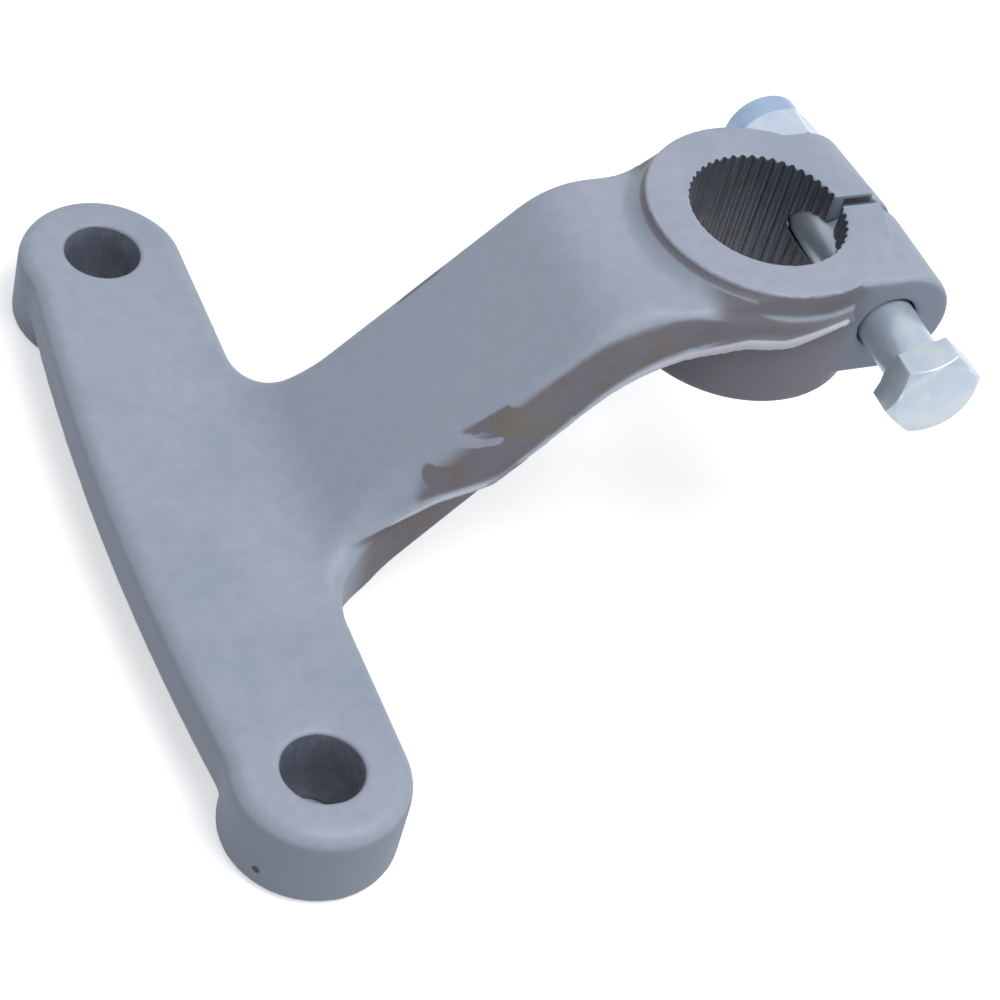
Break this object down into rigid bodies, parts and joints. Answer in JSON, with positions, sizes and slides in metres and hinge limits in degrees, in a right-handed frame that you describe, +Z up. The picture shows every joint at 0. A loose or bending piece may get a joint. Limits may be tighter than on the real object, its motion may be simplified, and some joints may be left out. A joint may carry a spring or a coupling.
{
  "type": "center steering arm",
  "caption": "S-shaped forged steering arm with a split clamp hub and cross bolt at one end and a crossbar with tapered tie rod eyes at the other.",
  "frame": {"origin": "on the hub bore's axis, in the plane of the hub's lower face", "axes": "+X from the crossbar to the clamp hub, +Y along the crossbar, +Z up along the hub bore"},
  "size_m": [0.1732, 0.1872, 0.0844],
  "materials": {
    "arm_forging": "thin matte grey-blue primer over shot-blasted steel",
    "zinc_plated_steel": "clear blue zinc plate, satin",
    "nylon_ring": "plain nylon"
  },
  "bodies": {
    "arm": {"steering_arm": "arm_forging"},
    "bolt": {"clamp_bolt": "zinc_plated_steel"},
    "nut": {"clamp_nut": "zinc_plated_steel", "nut_insert": "nylon_ring"}
  },
  "joints": [
    {"name": "nut_turn", "type": "hinge", "parent": "arm", "child": "nut", "pos_m": [0.0211, 0.0249, 0.01825], "axis": [0, -1, 0], "range_deg": [0, 2663]},
    {"name": "bolt_travel", "type": "slide", "parent": "arm", "child": "bolt", "axis": [0, 1, 0], "range_m": [0, 0.01445]}
  ],
  "couplings": [
    {"joint": "nut_turn", "follows": "bolt_travel", "rad_per_m": 3215.8}
  ]
}
